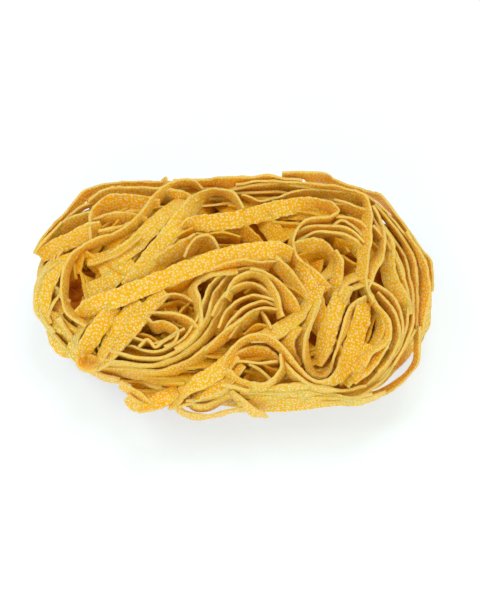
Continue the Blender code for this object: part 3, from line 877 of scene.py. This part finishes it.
def ring_knots(scale, rng):
    """A winding of noodle in the tangle that shows through the gaps, as pixels."""
    start = rng.uniform(0, TURN)
    sweep = rng.uniform(*RING_SWEEP)
    count = max(RING_FEWEST_KNOTS, round(sweep * RING_KNOTS_PER_RADIAN))
    width = rng.choice(RING_WIDTHS) * rng.choice(RING_NEAR_EDGES)
    knots = []
    for i in range(count):
        angle = start + sweep * i / (count - 1)
        wobble = 1 + RING_WOBBLE * math.sin(3 * angle + start)
        across = rounded(math.cos(angle)) * scale * wobble * RINGS_WIDE
        down = rounded(math.sin(angle)) * scale * wobble * RINGS_HIGH
        if across < 0 < down:
            across *= RING_FRONT_LEFT[0]
            down *= RING_FRONT_LEFT[1]
        knots.append((MIDDLE_X + across, MIDDLE_Y + down, width))
    return knots


def side_loop(height, lies_in, rng):
    """A noodle wound round the side, rising and falling, with its face outward and its ends tucked in."""
    start = rng.uniform(0, TURN)
    sweep = rng.uniform(*SIDE_SWEEP)
    angle = np.linspace(start, start + sweep, round(SIDE_SAMPLES * sweep / TURN))
    z = height + SIDE_WAVE * rng.uniform(*SIDE_WAVE_SHARES) * np.sin(angle + rng.uniform(0, TURN))
    second = SIDE_WAVE * SIDE_SECOND_WAVE * np.sin(2 * angle + rng.uniform(0, TURN))
    z += second + wave(angle, rng, *SIDE_UNEVEN_HEIGHT)
    z = np.clip(z, NOODLE_WIDTH / 2, SIDE_TOP)
    ends = np.minimum(angle - start, start + sweep - angle)
    inward = rng.choice(END_TUCKS) * np.clip(1 - ends / END_REACH, 0, 1) ** 2
    for at, spread, give_way in GAPS:
        from_gap = np.arctan2(np.sin(angle - at), np.cos(angle - at))
        high_enough = np.clip((z - GAPS_FROM) / GAPS_BLEND, 0, 1)
        inward = inward + give_way * np.exp(-((from_gap / spread) ** 2)) * high_enough
    in_front = np.clip(-np.sin(angle), 0, 1)
    inward = inward + SIDE_FRONT_INSET * in_front + wave(angle, rng, *SIDE_UNEVEN_INSET)
    x, y = outline(angle, z, lies_in)
    outwards = np.stack([np.cos(angle), np.sin(angle), np.zeros_like(angle)], axis=1)
    middle = np.stack([x, y, z], axis=1) - outwards * inward[:, None]
    lean = rng.uniform(-SIDE_LEAN, SIDE_LEAN) + SIDE_LEAN_ABOVE_WAIST * (z - WAIST) / WAIST
    lean = (lean + wave(angle, rng, *SIDE_TWIST))[:, None]
    return middle, np.cos(lean) * UPRIGHT - np.sin(lean) * outwards


def level_across(middle):
    """The level direction across a middle line."""
    travel = np.gradient(middle, axis=0)
    return unit(np.stack([travel[:, 1], -travel[:, 0], np.zeros(len(middle))], axis=1))


def under_ring(scale, height, rng):
    """A noodle lying nearly flat under the nest in a long ring."""
    start = rng.uniform(0, TURN)
    sweep = rng.uniform(*UNDER_SWEEP)
    samples_share = UNDER_SAMPLES_LEAST + (1 - UNDER_SAMPLES_LEAST) * scale
    angle = np.linspace(start, start + sweep, round(SIDE_SAMPLES * sweep / UNDER_FULL_SWEEP * samples_share))
    x, y = outline(angle, np.zeros_like(angle), UNDER_INSET, scale)
    x = x + UNDER_WAVE_X * np.sin(2 * angle + start)
    y = y + UNDER_WAVE_Y * np.cos(3 * angle + start)
    z = height + UNDER_RISE * np.sin(2 * angle + start)
    middle = np.stack([x, y, z], axis=1)
    tilt = (UNDER_TILT + UNDER_TILT_WAVE * np.sin(2 * angle + start))[:, None]
    return middle, level_across(middle) * np.cos(tilt) + UPRIGHT * np.sin(tilt)


def under_short(rng):
    """A short noodle crossing the others under the nest."""
    share = np.linspace(-1, 1, SHORT_SAMPLES)
    angle = rng.uniform(0, math.pi)
    along = rng.uniform(*SHORT_REACH) * share
    bow = rng.uniform(-SHORT_BOW, SHORT_BOW) * share * share
    x = along * np.cos(angle) * SHORT_STRETCH_X - bow * np.sin(angle)
    x = x + rng.uniform(-SHORT_SHIFT_X, SHORT_SHIFT_X)
    y = along * np.sin(angle) * SHORT_STRETCH_Y + bow * np.cos(angle)
    y = y + rng.uniform(-SHORT_SHIFT_Y, SHORT_SHIFT_Y)
    middle = np.stack([x, y, np.full_like(share, SHORT_HEIGHT)], axis=1)
    return middle, level_across(middle) + UPRIGHT * SHORT_TILT


def give(tree, socket, value):
    """Gives a socket a constant or the output of another node."""
    if isinstance(value, bpy.types.NodeSocket):
        tree.links.new(value, socket)
    else:
        socket.default_value = value


def feed(tree, target, inputs):
    """Gives a node's sockets, by name, their constants or links."""
    for name, value in inputs.items():
        give(tree, target.inputs[name], value)


def node(tree, kind, inputs=None, **settings):
    """A new node with its settings and inputs."""
    made = tree.nodes.new(kind)
    for name, value in settings.items():
        setattr(made, name, value)
    feed(tree, made, inputs or {})
    return made


def ranged(tree, value, before, after):
    """A value carried smoothly from one range to another."""
    made = node(tree, "ShaderNodeMapRange", {"Value": value}, interpolation_type="SMOOTHSTEP")
    feed(tree, made, {"From Min": before[0], "From Max": before[1], "To Min": after[0], "To Max": after[1]})
    return made.outputs["Result"]


def colour_socket(sockets, name):
    """A mix node's colour socket, since its number sockets have the same names."""
    return next(socket for socket in sockets if socket.name == name and socket.type == "RGBA")


def blended(tree, share, first, second):
    """One colour blended into another by a share."""
    made = node(tree, "ShaderNodeMix", {"Factor": share}, data_type="RGBA")
    for name, colour in (("A", first), ("B", second)):
        give(tree, colour_socket(made.inputs, name), (*colour, 1.0) if isinstance(colour, tuple) else colour)
    return colour_socket(made.outputs, "Result")


def maths(tree, operation, *values):
    """The result of a sum on numbers or the outputs of other nodes."""
    made = node(tree, "ShaderNodeMath", operation=operation)
    for socket, value in zip(made.inputs, values):
        give(tree, socket, value)
    return made.outputs["Value"]


def noise(tree, place, scale, detail):
    """Soft random blotches."""
    inputs = {"Vector": place, "Scale": scale, "Detail": detail}
    return node(tree, "ShaderNodeTexNoise", inputs).outputs["Fac"]


def relief(tree, height, strength, distance):
    """The direction of a surface with a small relief."""
    inputs = {"Height": height, "Strength": strength, "Distance": distance}
    return node(tree, "ShaderNodeBump", inputs).outputs["Normal"]


def new_material(name):
    """A new material, its node tree and its shader."""
    material = bpy.data.materials.new(name)
    material.use_nodes = True
    return material, material.node_tree, material.node_tree.nodes["Principled BSDF"]


def pasta_material(name, colours):
    """Dry egg pasta: gold, dotted with pale specks from the roller, with paler, rough cut edges."""
    material, tree, shader = new_material(name)
    place = node(tree, "ShaderNodeTexCoord").outputs["Object"]
    surface_map = node(tree, "ShaderNodeUVMap", uv_map=MAP_NAME).outputs["UV"]
    across = node(tree, "ShaderNodeAttribute", attribute_name="across").outputs["Fac"]
    tone = node(tree, "ShaderNodeAttribute", attribute_name="tone").outputs["Fac"]
    blotch = noise(tree, place, *BLOTCHES)
    patch = noise(tree, place, *PATCHES)
    grain = noise(tree, place, *GRAINS)
    pattern = {"Vector": surface_map, "Scale": DOT_SCALE, "Randomness": DOT_SCATTER}
    specks = node(tree, "ShaderNodeTexVoronoi", pattern, voronoi_dimensions="2D", feature="F1")

    shade = maths(tree, "ADD", maths(tree, "MULTIPLY", tone, TONE_SHARE), blotch)
    base = blended(tree, ranged(tree, shade, DEEP_TO_USUAL, (0, 1)), colours["deep"], colours["usual"])
    base = blended(tree, ranged(tree, shade, USUAL_TO_PALE, (0, 1)), base, colours["pale"])

    dots = ranged(tree, specks.outputs["Distance"], DOT_SIZE, (1, 0))
    dot_share = maths(tree, "MULTIPLY", dots, ranged(tree, patch, COARSENESS, DOT_STRENGTH))
    dotted = blended(tree, dot_share, base, colours["dots"])
    sandy = blended(tree, ranged(tree, grain, SAND_FROM, (0, MOST_SAND)), dotted, colours["pale"])

    at_edge = ranged(tree, maths(tree, "ABSOLUTE", across), EDGE_FROM, (0, 1))
    edge_share = maths(tree, "MULTIPLY", at_edge, ranged(tree, grain, COARSENESS, EDGE_STRENGTH))
    dot_height = maths(tree, "MULTIPLY", dots, DOT_RELIEF)
    height = maths(tree, "ADD", dot_height, maths(tree, "MULTIPLY", grain, GRAIN_RELIEF))
    feed(tree, shader, {
        "Base Color": blended(tree, edge_share, sandy, colours["cut_edge"]),
        "Roughness": ranged(tree, grain, (0.3, 0.7), ROUGHNESS),
        "Normal": relief(tree, height, *PASTA_RELIEF),
        **SHINE,
    })
    return material


def core_material():
    """The inside of the nest in dark colours of painted shade, banded like noodles."""
    material, tree, shader = new_material("inner_tangle")
    place = node(tree, "ShaderNodeTexCoord").outputs["Object"]
    bands = node(tree, "ShaderNodeTexWave", {"Vector": place, **BANDS}, bands_direction="Y").outputs["Fac"]
    feed(tree, shader, {
        "Base Color": blended(tree, bands, CORE_DARKER_PAINTED_SHADE, CORE_PAINTED_SHADE),
        "Roughness": 0.8,
        "Normal": relief(tree, bands, *CORE_RELIEF),
    })
    return material


def core_piece(material):
    """The filled middle that the noodles hide."""
    mesh = bmesh.new()
    bmesh.ops.create_uvsphere(mesh, u_segments=CORE_SIDES, v_segments=CORE_RINGS, radius=1.0)
    above_waist = NEST_HEIGHT - BED_TOP_INSET - CORE_TOP_INSET - WAIST
    below_waist = WAIST - CORE_LIFT
    at_pole = math.pi / 2 - math.pi / CORE_RINGS / 2
    for vert in mesh.verts:
        slope = math.asin(max(-1.0, min(1.0, vert.co.z)))
        height = WAIST + (above_waist if slope > 0 else below_waist) * math.sin(slope)
        x, y = outline(np.array(math.atan2(vert.co.y, vert.co.x)), np.array(height), CORE_INSET)
        place = np.array((float(x), float(y), height))
        if abs(slope) > at_pole:
            place[:2] = 0
        if slope > 0:
            across, down, _ = seen_at(place)
            place = place - TOWARD * opened(across, down) * min(1.0, slope / CORE_BLEND)
        vert.co = place
    data = mesh_data("inner_core", mesh)
    outward(data)
    data.shade_smooth()
    data.materials.append(material)
    claim(in_scene("inner_core", data))


def tangle_piece(material, surface, bed, rng):
    """The windings of noodle under the showing ones, open where the photograph shows openings."""
    tangle = Noodles("noodles_tangle")
    for scale in RINGS:
        for _ in range(2 if scale > TWO_WINDINGS_ABOVE else 1):
            winding = settled(ring_knots(scale, rng), surface, bed, TANGLE_RISE, True)
            for part in beside_openings(*winding):
                tangle.add(*part, rng)
    tangle.piece(material)


def sides_piece(material, surface, rng):
    """The noodles wound round the sides, innermost first, with their heights in mixed order."""
    sides = Noodles("noodles_sides")
    levels = list(range(SIDE_COUNT))
    rng.shuffle(levels)
    for number, level in enumerate(levels):
        height = SIDE_LOW + (SIDE_HIGH - SIDE_LOW) * level / (SIDE_COUNT - 1)
        inset = SIDE_DEEPEST + (SIDE_OUTERMOST - SIDE_DEEPEST) * number / (SIDE_COUNT - 1)
        middle, width_way = side_loop(height, inset, rng)
        sides.add(middle, width_way, rng)
        raise_surface(middle, width_way, surface)
    sides.piece(material)


def under_piece(material, rng):
    """The noodles underneath, which the photograph doesn't show."""
    under = Noodles("noodles_under")
    for i in range(UNDER_RINGS):
        scale = UNDER_OUTERMOST - UNDER_RING_STEP * i
        height = UNDER_HEIGHT + UNDER_HEIGHT_STEP * (i % UNDER_HEIGHTS)
        under.add(*under_ring(scale, height, rng), rng)
    for _ in range(SHORT_COUNT):
        under.add(*under_short(rng), rng)
    under.piece(material)


def build_nest():
    """The whole nest: core, tangle, sides, the noodles that show and those underneath."""
    pasta = pasta_material("dry_pasta", OUTER)
    # The inner pasta's darker, redder colours are painted shade for the deep noodles and the tangle
    inner_pasta_painted_shade = pasta_material("inner_pasta_painted_shade", INNER_PAINTED_SHADE)
    core_piece(core_material())
    rng = random.Random(SEED)
    bed = bed_depths()
    surface = bed.copy()
    tangle_piece(inner_pasta_painted_shade, surface, bed, rng)
    sides_piece(pasta, surface, rng)
    for place, noodles in SHOWING.items():
        deep = place == "deep"
        group = Noodles("noodles_" + place)
        for knots in noodles:
            group.add(*settled(knots, surface, bed, DEEP_RISE if deep else MOST_RISE, deep), rng)
        group.piece(inner_pasta_painted_shade if deep else pasta)
    under_piece(pasta, rng)


def floor():
    """A plain pale floor that glows with painted light."""
    mesh = bmesh.new()
    bmesh.ops.create_grid(mesh, x_segments=1, y_segments=1, size=FLOOR_HALF_SIZE)
    material, tree, shader = new_material("pale_floor")
    feed(tree, shader, {
        "Base Color": FLOOR_COLOUR,
        # Painted light: the floor's glow lightens the shadow under the nest
        "Emission Color": FLOOR_GLOW,
        "Emission Strength": FLOOR_GLOW_STRENGTH,
        "Roughness": 0.9,
        "Specular IOR Level": 0.1,
    })
    data = mesh_data("floor", mesh)
    data.materials.append(material)
    in_scene("floor", data)


def lamp(name, place, size, power, colour):
    """A soft square lamp aimed at the nest."""
    data = bpy.data.lights.new(name, "AREA")
    data.size = size
    data.energy = power
    data.color = colour
    away = np.array(place) - MIDDLE
    obj = in_scene(name, data)
    obj.location = place
    obj.rotation_euler = (0, math.atan2(math.hypot(away[0], away[1]), away[2]), math.atan2(away[1], away[0]))


def studio():
    """Soft light from the back and above, as in the photograph."""
    world = bpy.data.worlds.new("studio")
    world.use_nodes = True
    tree = world.node_tree
    feed(tree, tree.nodes["Background"], {"Color": SKY_COLOUR, "Strength": SKY_STRENGTH})
    bpy.context.scene.world = world
    for name, (place, size, power, colour) in LAMPS.items():
        lamp(name, place, size, power, colour)
    bpy.context.scene.view_settings.view_transform = "Standard"


def camera():
    """A long lens that looks down on the nest from the front, with its middle at the photograph's pixel."""
    data = bpy.data.cameras.new("camera")
    data.lens = LENS
    data.sensor_width = SENSOR
    data.clip_end = CAMERA_REACH
    obj = in_scene("camera", data)
    aim = MIDDLE + (PHOTO_WIDE / 2 - MIDDLE_X) * STEP * RIGHT + (MIDDLE_Y - PHOTO_HIGH / 2) * STEP * UP
    obj.location = aim + DISTANCE * TOWARD
    obj.rotation_euler = (math.pi / 2 - VIEW_ELEVATION, 0, 0)
    bpy.context.scene.camera = obj


build_nest()
floor()
studio()
camera()
